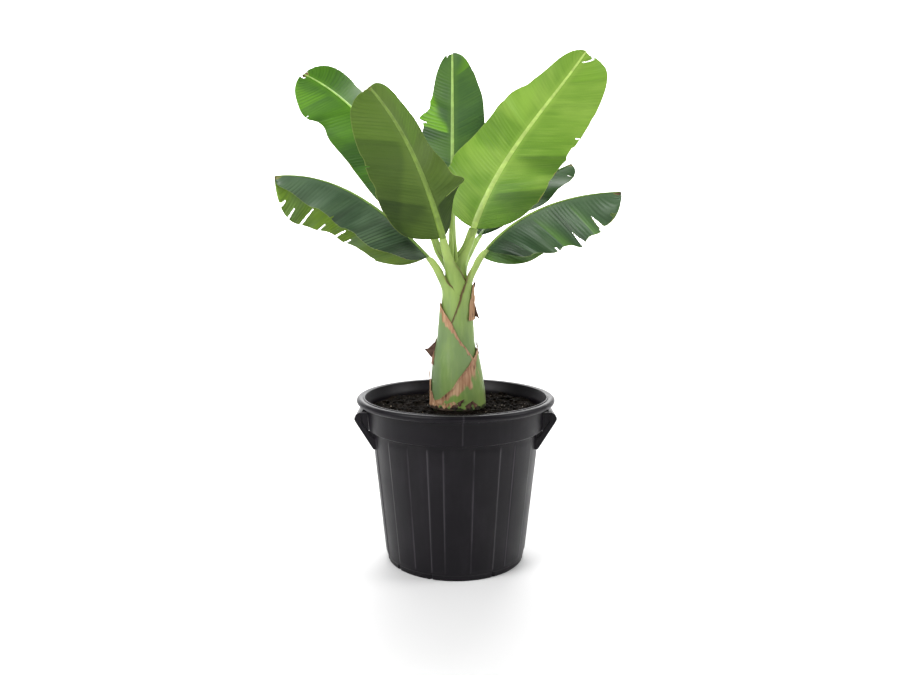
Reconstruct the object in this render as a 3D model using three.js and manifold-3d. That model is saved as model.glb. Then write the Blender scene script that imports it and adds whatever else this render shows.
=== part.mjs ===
// A young banana plant standing in a black plastic nursery pot with two handles.
// Millimetres, +Z up. The origin is the middle of the pot's flat underside, the viewer stands at -Y.
import * as THREE from 'three';
import { mergeVertices } from 'three/addons/utils/BufferGeometryUtils.js';
import Module from 'manifold-3d';

const wasm = await Module();
wasm.setup();

// ---- driving dimensions ----
const GAP = 0.3;
const POT_SIDES = 48;
const POT_BASE_R = 139.5;
const POT_SLOPE = 0.108;
const POT_WALL = 3.5;
const POT_FLOOR = 4;
const BAND_Z = 273;
const BAND_R = 178.5;
const BAND_TOP_R = 182;
const RIM_R = 200;
const RIM_IN_R = 183;
const RIM_Z = 322;
const POT_H = 335.5;
const FOOT_H = 12;
const FOOT_INSET = 2;
const SOIL_Z = 308;
const SOIL_MOUND = 6;

const HANDLE_HALF = 48;
const HANDLE_PLATE = 4;
const HANDLE_FLANGE = 9;
const HANDLE_TOP = 310;
const HANDLE_LOW = 236;
const HANDLE_OUT = 200;

const STEM_BASE_Z = SOIL_Z + SOIL_MOUND + GAP;
const STEM_TOP_Z = 545;

const LEAF_STEPS = 15;
const BLADE = 2;
const RIB_DEEP = 8;
const RIB_HALF = 5;

// One entry for each leaf. start is where its stalk leaves the stem. heading (degrees round from +X)
// and rise (degrees above level) are given at the stalk's start, the blade's foot, its middle and its
// tip. fold and curl are given at foot, middle and tip of each half: fold lifts the half from the
// midrib, curl bends it on towards its margin. foot and tip say how bluntly the outline ends, spread
// changes the fold and bulge the width round one place. stout is the stalk's radius at both ends.
const LEAVES = [
  {
    name: 'front_left', start: [-7, -14, 540], heading: [-117, -124, -131, -132], rise: [82, 64, 55, 34],
    stalk: 118, length: 325, roll: -26, stout: [15, 7.5],
    left: {
      half: 52, fold: [62, 77, 52], curl: 10, foot: 12, tip: 3.2,
      spread: [0.31, 0.12, -60], bulge: [[0.275, 0.04, 0.5], [0.14, 0.08, 0.2]],
    },
    right: {
      half: 96, fold: [-8, 3, 8], curl: 20, foot: 14, tip: 4.2,
    },
  },
  {
    name: 'high_right', start: [-4, 5, 560], heading: [21, 27, 31, 34], rise: [68, 69, 49.5, 50],
    stalk: 120, length: 474, roll: -43, stout: [14, 9],
    left: {
      half: 96, fold: [6, 2, -2], curl: 10, foot: 14, tip: 1.9,
      bulge: [[0.57, 0.07, 0.07], [0.22, 0.1, 0.08]],
    },
    right: {
      half: 108, fold: [1, 9, 4], curl: 10, foot: 12, tip: 5.2,
    },
  },
  {
    name: 'top', start: [-6, 15, 560], heading: [90, 90, 90, 90], rise: [80, 70, 68, 69],
    stalk: 156, length: 360, roll: 2, stout: [11, 6],
    left: {
      half: 52, fold: [10, -8, 4], curl: 10, foot: 9, tip: 3.5,
      bulge: [[0.58, 0.04, 0.3], [0.44, 0.14, 0.3]],
    },
    right: {
      half: 72, fold: [10, 5, 2], curl: 10, foot: 9, tip: 3.6,
    },
  },
  {
    name: 'back_left', start: [-12, 10, 550], heading: [145, 145, 148, 144], rise: [74, 61, 45, 23],
    stalk: 159, length: 460, roll: 17, stout: [12, 6.5],
    left: {
      half: 84, fold: [-40, -40, -38], curl: 10, foot: 9, tip: 7,
      bulge: [[0.66, 0.05, -0.1], [0.82, 0.07, 0.08]],
    },
    right: {
      half: 82, fold: [2, -10, 32], curl: 10, foot: 9, tip: 8,
    },
  },
  {
    name: 'low_left', start: [-14, -5, 535], heading: [-166, -168, -171, -171], rise: [80, 47, 31, -8],
    stalk: 92, length: 343, roll: -6, stout: [15, 7.5],
    left: {
      half: 76, fold: [-40, -65, -46], curl: 20, foot: 7, tip: 1.7,
    },
    right: {
      half: 100, fold: [-55, -48, -76], curl: 20, foot: 8, tip: 9,
    },
  },
  {
    name: 'low_right', start: [20, -6, 535], heading: [-12, -13, -15, -8], rise: [83, 50, 21, 1],
    stalk: 107, length: 286, roll: 5, stout: [12.5, 7],
    left: {
      half: 82, fold: [-72, -66, -66], curl: 20, foot: 16, tip: 6,
    },
    right: {
      half: 100, fold: [-42, -60, -40], curl: 20, foot: 6, tip: 6,
      bulge: [[0.62, 0.05, 0.1], [0.78, 0.05, 0.1]],
    },
  },
  {
    name: 'back_right', start: [8, 18, 550], heading: [49, 45, 45, 44], rise: [77, 43, 27, 17],
    stalk: 127, length: 350, roll: 3, stout: [11, 5.5],
    left: {
      half: 70, fold: [10, 0, -10], curl: 10, foot: 7, tip: 4,
    },
    right: {
      half: 66, fold: [5, -19, -27], curl: 10, foot: 7, tip: 2.5,
    },
  },
];
const SPEAR_H = 125;

const plastic = new THREE.MeshStandardMaterial({ color: 0x2b2a2d, roughness: 0.5, metalness: 0 });
const earth = new THREE.MeshStandardMaterial({ color: 0x241c17, roughness: 1, metalness: 0 });
const sheath = new THREE.MeshStandardMaterial({ color: 0x7f9150, roughness: 0.6, metalness: 0 });
const stalkGreen = new THREE.MeshStandardMaterial({ color: 0x84a052, roughness: 0.5, metalness: 0 });
const leafGreen = new THREE.MeshStandardMaterial({ color: 0x5b8a2d, roughness: 0.5, metalness: 0 });

const rad = THREE.MathUtils.degToRad;
const model = new THREE.Group();

function solid(geometry) {
  geometry.deleteAttribute('normal');
  geometry.deleteAttribute('uv');
  const merged = mergeVertices(geometry, 1e-4);
  const flat = merged.index.array;
  const kept = [];
  for (let i = 0; i < flat.length; i += 3) {
    const [a, b, c] = [flat[i], flat[i + 1], flat[i + 2]];
    if (a !== b && b !== c && c !== a) {
      kept.push(a, b, c);
    }
  }
  return new wasm.Manifold(new wasm.Mesh({
    numProp: 3,
    vertProperties: new Float32Array(merged.attributes.position.array),
    triVerts: new Uint32Array(kept),
  }));
}

function largest(shape) {
  const pieces = shape.decompose();
  return pieces.reduce((best, piece) => (piece.volume() > best.volume() ? piece : best));
}

function add(name, shape, material) {
  const cut = shape.getMesh();
  const geometry = new THREE.BufferGeometry();
  geometry.setAttribute('position', new THREE.BufferAttribute(cut.vertProperties, 3));
  geometry.setIndex(new THREE.BufferAttribute(cut.triVerts, 1));
  geometry.computeVertexNormals();
  const mesh = new THREE.Mesh(geometry, material);
  mesh.name = name;
  model.add(mesh);
}

// A closed skin over rings of points that all run the same way round.
function skin(rings) {
  const n = rings[0].length;
  const points = rings.flat();
  const first = new THREE.Vector3();
  const last = new THREE.Vector3();
  rings[0].forEach((p) => first.addScaledVector(p, 1 / n));
  rings.at(-1).forEach((p) => last.addScaledVector(p, 1 / n));
  const index = [];
  const top = (rings.length - 1) * n;
  for (let k = 0; k < n; k += 1) {
    const j = (k + 1) % n;
    for (let i = 0; i < top; i += n) {
      index.push(i + k, i + j, i + n + k, i + j, i + n + j, i + n + k);
    }
    index.push(points.length, j, k, points.length + 1, top + k, top + j);
  }
  const geometry = new THREE.BufferGeometry().setFromPoints([...points, first, last]);
  geometry.setIndex(index);
  return geometry;
}

function bodyRadius(z) {
  return POT_BASE_R + POT_SLOPE * z;
}

// The pot's profile, grown outwards by spread where another piece needs clearance.
function potSolid(spread) {
  const inBand = BAND_R - POT_WALL;
  const lead = new THREE.Path();
  lead.moveTo(0, -spread);
  lead.lineTo(POT_BASE_R - FOOT_INSET + spread, -spread);
  lead.lineTo(bodyRadius(FOOT_H) - FOOT_INSET + spread, FOOT_H);
  lead.lineTo(bodyRadius(FOOT_H) + spread, FOOT_H + FOOT_INSET);
  lead.lineTo(bodyRadius(BAND_Z) + spread, BAND_Z - spread);
  lead.lineTo(BAND_R + spread, BAND_Z - spread);
  lead.lineTo(BAND_TOP_R + spread, RIM_Z - spread);
  lead.lineTo(RIM_R - 5 + spread, RIM_Z - spread);
  lead.quadraticCurveTo(RIM_R + spread, RIM_Z - spread, RIM_R + spread, RIM_Z + 5);
  lead.quadraticCurveTo(RIM_R + spread, POT_H + spread, RIM_R - 8, POT_H + spread);
  lead.lineTo(RIM_IN_R + 2, POT_H + spread);
  lead.lineTo(RIM_IN_R - spread, POT_H - 3);
  lead.lineTo(RIM_IN_R - spread, RIM_Z);
  lead.lineTo(BAND_TOP_R - POT_WALL - spread, RIM_Z - 4);
  lead.lineTo(inBand - spread, BAND_Z + 2);
  lead.lineTo(bodyRadius(BAND_Z) - POT_WALL - spread, BAND_Z - 4);
  lead.lineTo(bodyRadius(POT_FLOOR) - POT_WALL - spread, POT_FLOOR + spread);
  lead.lineTo(0, POT_FLOOR + spread);
  return solid(new THREE.LatheGeometry(lead.getPoints(4), POT_SIDES).rotateX(Math.PI / 2));
}

function soilSolid() {
  const lead = new THREE.Path();
  const wall = POT_WALL + GAP;
  lead.moveTo(0, POT_FLOOR + GAP);
  lead.lineTo(bodyRadius(POT_FLOOR) - wall - GAP, POT_FLOOR + GAP);
  lead.lineTo(bodyRadius(BAND_Z) - wall - GAP, BAND_Z - 5);
  lead.lineTo(BAND_R - wall - GAP, BAND_Z + 2);
  lead.lineTo(BAND_R - wall + 2, SOIL_Z);
  lead.quadraticCurveTo(90, SOIL_Z + 1, 62, SOIL_Z + SOIL_MOUND);
  lead.lineTo(0, SOIL_Z + SOIL_MOUND);
  return solid(new THREE.LatheGeometry(lead.getPoints(4), POT_SIDES).rotateX(Math.PI / 2));
}

// A plate lying in the XZ plane, thick mm deep, its middle at y.
function plate(points, thick, y) {
  const outline = new THREE.Shape(points.map(([x, z]) => new THREE.Vector2(x, z)));
  const geometry = new THREE.ExtrudeGeometry(outline, { depth: thick, bevelEnabled: false });
  return solid(geometry.rotateX(Math.PI / 2).translate(0, y + thick / 2, 0));
}

// A handle: a grip bar across two three-cornered gussets, each edged by a flange.
function handleSolid(side) {
  const outer = [
    [150, HANDLE_LOW], [163, HANDLE_LOW], [HANDLE_OUT - 3, 290], [HANDLE_OUT, 296],
    [HANDLE_OUT, 300], [HANDLE_OUT - 3, 306], [HANDLE_OUT - 9, HANDLE_TOP], [150, HANDLE_TOP],
  ];
  const inner = [
    [150, HANDLE_LOW + 22], [164, HANDLE_LOW + 22], [HANDLE_OUT - 12, 292],
    [HANDLE_OUT - 12, HANDLE_TOP - 4], [150, HANDLE_TOP - 4],
  ];
  const wide = 2 * HANDLE_HALF + HANDLE_FLANGE;
  const grip = [
    [HANDLE_OUT - 14, 292], [HANDLE_OUT - 10, 288], [HANDLE_OUT - 3, 290], [HANDLE_OUT, 296],
    [HANDLE_OUT, 300], [HANDLE_OUT - 3, 306], [HANDLE_OUT - 9, HANDLE_TOP], [HANDLE_OUT - 14, HANDLE_TOP],
  ];
  let shape = plate(grip, wide, 0);
  for (const y of [-HANDLE_HALF, HANDLE_HALF]) {
    const rim = plate(outer, HANDLE_FLANGE, y).subtract(plate(inner, HANDLE_FLANGE + 2, y));
    shape = shape.add(rim).add(plate(outer, HANDLE_PLATE, y));
  }
  shape = shape.subtract(potSolid(GAP)).subtract(soilSolid()).rotate([0, 0, side > 0 ? 0 : 180]);
  return largest(shape);
}

// The stem of rolled sheaths: round, widest at the soil, leaning a little as it rises.
function stemSolid(spread) {
  const stations = [
    [STEM_BASE_Z, 55, 5], [345, 54, 4.5], [380, 51, 2.5], [410, 46.5, 1], [430, 42, 1],
    [450, 38.5, 1.5], [495, 35, 2], [STEM_TOP_Z, 31, 3],
  ];
  const rings = stations.map(([z, r, x], i) => {
    const ring = [];
    for (let k = 0; k < 24; k += 1) {
      const a = 2 * Math.PI * k / 24;
      const grown = r + spread;
      const lift = i === stations.length - 1 ? spread : 0;
      ring.push(new THREE.Vector3(x + grown * Math.cos(a), grown * Math.sin(a), z + lift));
    }
    return ring;
  });
  return solid(skin(rings));
}

// The value at t of a curve through three values at 0, 0.5 and 1.
function bend([a, b, c], t) {
  return a * (1 - t) * (1 - 2 * t) + 4 * b * t * (1 - t) + c * t * (2 * t - 1);
}

function axes(heading, rise) {
  const [a, e] = [rad(heading), rad(rise)];
  const ahead = new THREE.Vector3(Math.cos(e) * Math.cos(a), Math.cos(e) * Math.sin(a), Math.sin(e));
  const right = new THREE.Vector3(Math.sin(a), -Math.cos(a), 0);
  const up = new THREE.Vector3().crossVectors(right, ahead);
  return { ahead, right, up };
}

// Steps of a curve that starts at start and follows the headings and rises.
function route(start, length, count, headingAt, riseAt) {
  const stops = [];
  const place = start.clone();
  const fine = 8;
  for (let i = 0; i <= count * fine; i += 1) {
    const t = i / (count * fine);
    if (i > 0) {
      const half = t - 0.5 / (count * fine);
      place.addScaledVector(axes(headingAt(half), riseAt(half)).ahead, length / (count * fine));
    }
    if (i % fine === 0) {
      stops.push({ t, place: place.clone(), ...axes(headingAt(t), riseAt(t)) });
    }
  }
  return stops;
}

function stalkRoute(leaf) {
  const [h0, h1] = leaf.heading;
  const [r0, r1] = leaf.rise;
  return route(new THREE.Vector3(...leaf.start), leaf.stalk, 7,
    (t) => h0 + (h1 - h0) * t, (t) => r0 + (r1 - r0) * t);
}

function stalkSolid(leaf, spread) {
  const rings = stalkRoute(leaf).map((stop) => {
    const [wide, slim] = leaf.stout;
    const r = wide + (slim - wide) * stop.t ** 0.75 + spread;
    const ring = [];
    for (let k = 0; k < 10; k += 1) {
      const a = 2 * Math.PI * k / 10;
      const p = stop.place.clone().addScaledVector(stop.right, -r * Math.cos(a));
      ring.push(p.addScaledVector(stop.up, r * Math.sin(a)));
    }
    return ring;
  });
  return solid(skin(rings));
}

// How wide a half is at t, as a share of its widest: rounded at the foot and at the tip, with a
// share more or less round each of its bulges.
function outline(t, { foot, tip, bulge = [] }) {
  let most = 0;
  for (let i = 1; i < 100; i += 1) {
    most = Math.max(most, Math.sqrt((1 - (1 - i / 100) ** foot) * (1 - (i / 100) ** tip)));
  }
  let width = Math.sqrt((1 - (1 - t) ** foot) * (1 - t ** tip)) / most;
  for (const [place, wide, share] of bulge) {
    width *= 1 + share * Math.exp(-(((t - place) / wide) ** 2));
  }
  return width;
}

// A blade in one piece with its midrib: a ring of points round its section at each step.
function bladeSolid(leaf) {
  const foot = stalkRoute(leaf).at(-1);
  const start = foot.place.clone().addScaledVector(foot.ahead, 2 * GAP);
  const heading = leaf.heading.slice(1);
  const rise = leaf.rise.slice(1);
  const stops = route(start, leaf.length, LEAF_STEPS, (t) => bend(heading, t), (t) => bend(rise, t));
  const roll = rad(leaf.roll);
  const rings = stops.map((stop) => {
    const right = stop.right.clone().multiplyScalar(Math.cos(roll)).addScaledVector(stop.up, Math.sin(roll));
    const up = stop.up.clone().multiplyScalar(Math.cos(roll)).addScaledVector(stop.right, -Math.sin(roll));
    const above = [];
    const below = [];
    for (const [side, half] of [[-1, leaf.left], [1, leaf.right]]) {
      const width = Math.max(RIB_HALF + 2, half.half * outline(stop.t, half));
      const near = RIB_HALF / width;
      const [place, wide, more] = half.spread ?? [0, 1, 0];
      const fold = rad(bend(half.fold, stop.t) + more * Math.exp(-(((stop.t - place) / wide) ** 2)));
      const curl = rad(half.curl);
      for (const v of [near, near + (1 - near) / 3, near + 2 * (1 - near) / 3, 1]) {
        const turn = fold - curl * v;
        const out = width * (Math.sin(fold) - Math.sin(turn)) / curl;
        const high = width * (Math.cos(turn) - Math.cos(fold)) / curl;
        const p = stop.place.clone().addScaledVector(right, side * out).addScaledVector(up, high);
        p.addScaledVector(stop.ahead, 0.15 * width * v ** 1.5);
        const down = up.clone().multiplyScalar(-Math.cos(turn)).addScaledVector(right, side * Math.sin(turn));
        above.push(p);
        below.push(p.clone().addScaledVector(down, BLADE));
      }
    }
    const rib = RIB_DEEP + (BLADE + 1 - RIB_DEEP) * stop.t;
    const keel = stop.place.clone().addScaledVector(up, -rib);
    return [
      ...above.slice(0, 4).reverse(), stop.place, ...above.slice(4),
      ...below.slice(4).reverse(), keel, ...below.slice(0, 4),
    ];
  });
  return solid(skin(rings));
}

// A rolled young leaf standing among the stalks.
function spearSolid() {
  const rings = [];
  for (let i = 0; i <= 6; i += 1) {
    const t = i / 6;
    const r = 7 * Math.sqrt(1 - t ** 2) + 1;
    const ring = [];
    for (let k = 0; k < 10; k += 1) {
      const a = 2 * Math.PI * k / 10;
      ring.push(new THREE.Vector3(2 - 6 * t + r * Math.cos(a), -8 + r * Math.sin(a),
        STEM_TOP_Z + GAP + SPEAR_H * t));
    }
    rings.push(ring);
  }
  return solid(skin(rings));
}

add('pot', potSolid(0), plastic);
add('handle_left', handleSolid(-1), plastic);
add('handle_right', handleSolid(1), plastic);
add('soil', soilSolid(), earth);
add('pseudostem', stemSolid(0), sheath);

let taken = stemSolid(GAP);
for (const leaf of LEAVES) {
  add(`stalk_${leaf.name}`, largest(stalkSolid(leaf, 0).subtract(taken)), stalkGreen);
  taken = taken.add(stalkSolid(leaf, GAP));
}
add('spear_leaf', largest(spearSolid().subtract(taken)), stalkGreen);
for (const leaf of LEAVES) {
  add(`leaf_${leaf.name}`, bladeSolid(leaf), leafGreen);
}

export default model;
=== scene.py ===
"""A young banana plant in a black plastic pot: seven pleated leaves on grooved stalks."""

import bpy
import numpy as np
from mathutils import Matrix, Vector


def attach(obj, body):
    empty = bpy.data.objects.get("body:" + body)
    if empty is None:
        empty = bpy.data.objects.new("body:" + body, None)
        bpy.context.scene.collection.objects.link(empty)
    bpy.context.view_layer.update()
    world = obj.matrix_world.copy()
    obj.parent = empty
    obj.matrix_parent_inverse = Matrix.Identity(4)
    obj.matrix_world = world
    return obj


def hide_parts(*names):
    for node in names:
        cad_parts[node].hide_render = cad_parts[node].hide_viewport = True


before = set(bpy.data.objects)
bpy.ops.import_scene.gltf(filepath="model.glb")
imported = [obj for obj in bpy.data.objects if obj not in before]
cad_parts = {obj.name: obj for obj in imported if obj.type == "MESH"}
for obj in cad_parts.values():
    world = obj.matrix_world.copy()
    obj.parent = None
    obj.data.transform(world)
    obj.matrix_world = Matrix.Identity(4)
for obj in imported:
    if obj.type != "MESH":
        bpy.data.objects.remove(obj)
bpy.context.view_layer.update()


# Tools that every piece shares: eased steps, grids of faces, a mesh with its frame labels, and
# shaders written as arithmetic on the sockets of nodes. Lengths are in metres unless said.
def smooth(low, high, x):
    """0 below low, 1 above high, and an S-shaped climb between them."""
    x = np.clip((np.asarray(x, float) - low) / (high - low), 0, 1)
    return x * x * (3 - 2 * x)


def grid_faces(rows, columns, wrap=False):
    """Four-sided faces between neighbouring points of a grid, joined round its columns when wrap."""
    index = np.arange(rows * columns).reshape(rows, columns)
    if wrap:
        index = np.hstack([index, index[:, :1]])
    corners = (index[:-1, :-1], index[:-1, 1:], index[1:, 1:], index[1:, :-1])
    return np.stack(corners, -1).reshape(-1, 4)


def tube_faces(rows, columns):
    """The faces of a grid joined round its columns, with a lid on its first and its last row."""
    ring = np.arange(columns)[None]
    return [grid_faces(rows, columns, True), ring[:, ::-1], ring + (rows - 1) * columns]


def skin_faces(rows, count):
    """The faces of a thin closed skin whose rows run count points out and count points back."""
    k = np.arange(count - 1)
    strip = np.stack([k, 2 * count - 1 - k, 2 * count - 2 - k, k + 1], -1)
    return [grid_faces(rows, 2 * count, True), strip, (strip + (rows - 1) * 2 * count)[:, ::-1]]


def build(name, points, faces, look, nodes, flat=None, fields=None):
    """A mesh of the points and faces, with one value or vector per point in each field.
    flat is a place for each point on the unit square, on which its colours are laid out."""
    points = np.reshape(points, (-1, 3)).astype(np.float32)
    mesh = bpy.data.meshes.new(name)
    faces = [np.asarray(f, np.int32) for f in faces if len(f)]
    loops = np.concatenate([f.ravel() for f in faces])
    sizes = np.concatenate([np.full(len(f), f.shape[1]) for f in faces])
    mesh.vertices.add(len(points))
    mesh.vertices.foreach_set("co", points.ravel())
    mesh.loops.add(len(loops))
    mesh.loops.foreach_set("vertex_index", loops)
    mesh.polygons.add(len(sizes))
    mesh.polygons.foreach_set("loop_start", np.concatenate([[0], np.cumsum(sizes)[:-1]]).astype(np.int32))
    mesh.update(calc_edges=True)
    mesh.polygons.foreach_set("use_smooth", np.ones(len(sizes), bool))
    for key, values in (fields or {}).items():
        values = np.asarray(values, np.float32)
        kind, entry = ("FLOAT", "value") if values.size == len(points) else ("FLOAT_VECTOR", "vector")
        mesh.attributes.new(key, kind, "POINT").data.foreach_set(entry, values.ravel())
    if flat is not None:
        places = []
        for f in faces:
            place = np.reshape(flat, (-1, 2))[f]
            over_seam = np.ptp(place[..., 0], axis=1) > 0.4
            place[..., 0] += over_seam[:, None] * (place[..., 0] < 0.5)
            places.append(place.reshape(-1, 2))
        layer = mesh.uv_layers.new(name="OFBake")
        layer.data.foreach_set("uv", (np.concatenate(places) * 0.99).astype(np.float32).ravel())
    mesh.validate()
    mesh.set_sharp_from_angle(angle=1.0)
    mesh.materials.append(look)
    made = bpy.data.objects.new(name, mesh)
    bpy.context.scene.collection.objects.link(made)
    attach(made, "root")
    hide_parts(*nodes)


class Tint:
    """One output socket of a shader: arithmetic on it adds Math nodes."""

    def __init__(self, tree, socket=None):
        self.tree, self.socket = tree, socket

    def node(self, kind, inputs=None, out=0, **settings):
        """Adds a node: its settings first, then the values or links of its sockets."""
        made = self.tree.nodes.new(kind)
        for key, value in settings.items():
            setattr(made, key, value)
        for key, value in (inputs or {}).items():
            if isinstance(value, Tint):
                self.tree.links.new(value.socket, made.inputs[key])
            else:
                made.inputs[key].default_value = value
        return Tint(self.tree, made.outputs[out])

    def math(self, operation, *terms):
        return self.node("ShaderNodeMath", dict(enumerate(terms)), operation=operation)

    def __add__(self, other):
        return self.math("ADD", self, other)

    def __sub__(self, other):
        return self.math("SUBTRACT", self, other)

    def __rsub__(self, other):
        return self.math("SUBTRACT", other, self)

    def __mul__(self, other):
        return self.math("MULTIPLY", self, other)

    __radd__ = __add__

    def step(self, low, high):
        """0 below low, 1 above high."""
        inputs = {0: self, 1: low, 2: high}
        return self.node("ShaderNodeMapRange", inputs, interpolation_type="SMOOTHSTEP")

    def mix(self, first, second):
        """A colour between first and second by this amount."""
        first = first if isinstance(first, Tint) else (*first, 1)
        second = second if isinstance(second, Tint) else (*second, 1)
        return self.node("ShaderNodeMix", {0: self, 6: first, 7: second}, out=2, data_type="RGBA")

    def times(self, shade):
        """This colour multiplied by another."""
        inputs = {0: 1.0, 6: self, 7: (*shade, 1)}
        return self.node("ShaderNodeMix", inputs, out=2, data_type="RGBA", blend_type="MULTIPLY")

    def noise(self, place, scale, detail=4.0, stretch=(1, 1, 1)):
        """Cloudy values from 0 to 1, stretched along each axis."""
        spread = self.node("ShaderNodeMapping", {0: place, 3: stretch})
        inputs = {"Vector": spread, "Scale": scale, "Detail": detail}
        return self.node("ShaderNodeTexNoise", inputs)

    def cells(self, place, scale):
        """Distance to the nearest of many scattered points."""
        return self.node("ShaderNodeTexVoronoi", {"Vector": place, "Scale": scale})

    def own(self, field, out=2):
        """A value that the mesh holds at each point."""
        return self.node("ShaderNodeAttribute", attribute_name=field, out=out)

    def parts(self, out):
        """One of the three numbers of a vector."""
        return self.node("ShaderNodeSeparateXYZ", {0: self}, out=out)


def finish_of(name, colour, rough, height=None, depth=0.001, strength=0.5, **constants):
    """A material from functions that give the colour, roughness and height wires."""
    look = bpy.data.materials.new(name)
    look.use_nodes = True
    tree = look.node_tree
    shader = tree.nodes["Principled BSDF"]
    pen = Tint(tree)
    for key, value in constants.items():
        shader.inputs[key.replace("_", " ")].default_value = value
    tree.links.new(colour(pen).socket, shader.inputs["Base Color"])
    tree.links.new(rough(pen).socket, shader.inputs["Roughness"])
    if height:
        inputs = {"Strength": strength, "Distance": depth, "Height": height(pen)}
        bump = pen.node("ShaderNodeBump", inputs)
        tree.links.new(bump.socket, shader.inputs["Normal"])
    return look


def place_of(pen):
    """The object's own coordinates, in metres."""
    return pen.node("ShaderNodeTexCoord", out=3)


# The pot: one thin moulding of black plastic. Staves stand proud of its tapered body, a plain
# band steps out above them, and a thick rolled rim closes the top round a shallow lip.
def cloud_break(streak):
    """Uneven strength of the painted highlight along an edge."""
    return streak.step(0.3, 0.62) * 0.8 + 0.2


def pot_colour(pen):
    """Black plastic, with grey lines of painted highlight up its sides along the stave edges and the
    seam, and pale dust in specks.
    """
    place = place_of(pen)
    cloudy = pen.noise(place, 9.0, 5.0)
    streak = pen.noise(place, 55.0, 3.0, (1, 1, 0.06))
    dusty = (cloudy * 0.6 + streak * 0.4).step(0.46, 0.7)
    base = dusty.mix((0.003, 0.0018, 0.0042), (0.0085, 0.0066, 0.0102))
    # Painted highlight: grey lines up the stave edges and along the seam.
    base = (pen.own("edge_highlight") * cloud_break(streak)).mix(base, (0.055, 0.05, 0.058))
    speck = pen.cells(place, 420.0).step(0.16, 0.05) * pen.noise(place, 30.0).step(0.52, 0.62)
    return (speck * 0.35).mix(base, (0.06, 0.055, 0.05))


def pot_rough(pen):
    """Satin, duller in soft patches."""
    return 0.3 + pen.noise(place_of(pen), 14.0, 6.0) * 0.22


def pot_height(pen):
    """A fine grain, and slight upright ripples."""
    return pen.noise(place_of(pen), 900.0, 2.0) + pen.noise(place_of(pen), 60.0, 2.0, (1, 1, 0.1)) * 2.0


pot_look = finish_of("black moulded plastic", pot_colour, pot_rough, pot_height, 0.0004, 0.25,
                     Specular_IOR_Level=0.21)

# Bearings (degrees from the front, growing to the right) at which a stave begins or ends. They are
# counted from a bearing that has no edge near it.
FIRST_BEARING = -146
POT_STAVES = (-125, -104, -88, -70, -50, -33, -18.5, -8, 11.5, 30, 42, 62, 83, 100, 118, 137, 156, 178, 196,
              214)
BAND_Z, RIM_Z = 0.273, 0.322
STAVE_FOOT, STAVE_TOP, STAVE_STEP = 0.014, 0.266, 0.0014
SEAM_BEARING = 4
NOTCHES = (-110, -75, -53, -20, 31, 76, 118, 160)


def body_radius(z):
    """The pot's taper: it widens by 0.108 of each metre of height."""
    return 0.1395 + 0.108 * z


def stepped(corners, step, least):
    """Points along straight runs between corners (radius, height), about a step apart."""
    run = []
    for (r0, z0), (r1, z1) in zip(corners[:-1], corners[1:]):
        count = max(least, int(np.hypot(r1 - r0, z1 - z0) / step))
        t = np.arange(count) / count
        run.append(np.stack([r0 + (r1 - r0) * t, z0 + (z1 - z0) * t], 1))
    return run


def pot_outline():
    """The pot's section from the middle of its underside up outside, over the rim and down inside:
    straight runs stepped finely, and the rolled rim as part of a circle."""
    legs = [
        (0.004, 0), (0.1375, 0), (0.139, 0.0015), (0.1395, 0.01), (0.1412, 0.012), (0.1415, 0.014),
        (body_radius(0.27), 0.27), (0.1695, 0.2725), (0.1765, BAND_Z), (0.1785, 0.2745), (0.1788, 0.277),
        (0.182, 0.3195), (0.1835, 0.3213), (0.189, RIM_Z),
    ]
    turn = np.radians(np.linspace(-90, 92, 15))
    roll = np.stack([0.1932 + 0.0068 * np.cos(turn), 0.3288 + 0.0067 * np.sin(turn)], 1)
    lip = [
        (0.19, 0.3347), (0.1875, 0.3335), (0.1865, 0.334), (0.1855, 0.3355), (0.184, 0.3354),
        (0.1832, 0.334), (0.183, 0.323), (0.1786, 0.3185), (0.1752, 0.276), (0.1656, 0.269),
        (0.1372, 0.005), (0.134, 0.004), (0.004, 0.004),
    ]
    return np.concatenate([*stepped(legs, 0.0046, 2), roll, *stepped(lip, 0.008, 1), [lip[-1]]])


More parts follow.
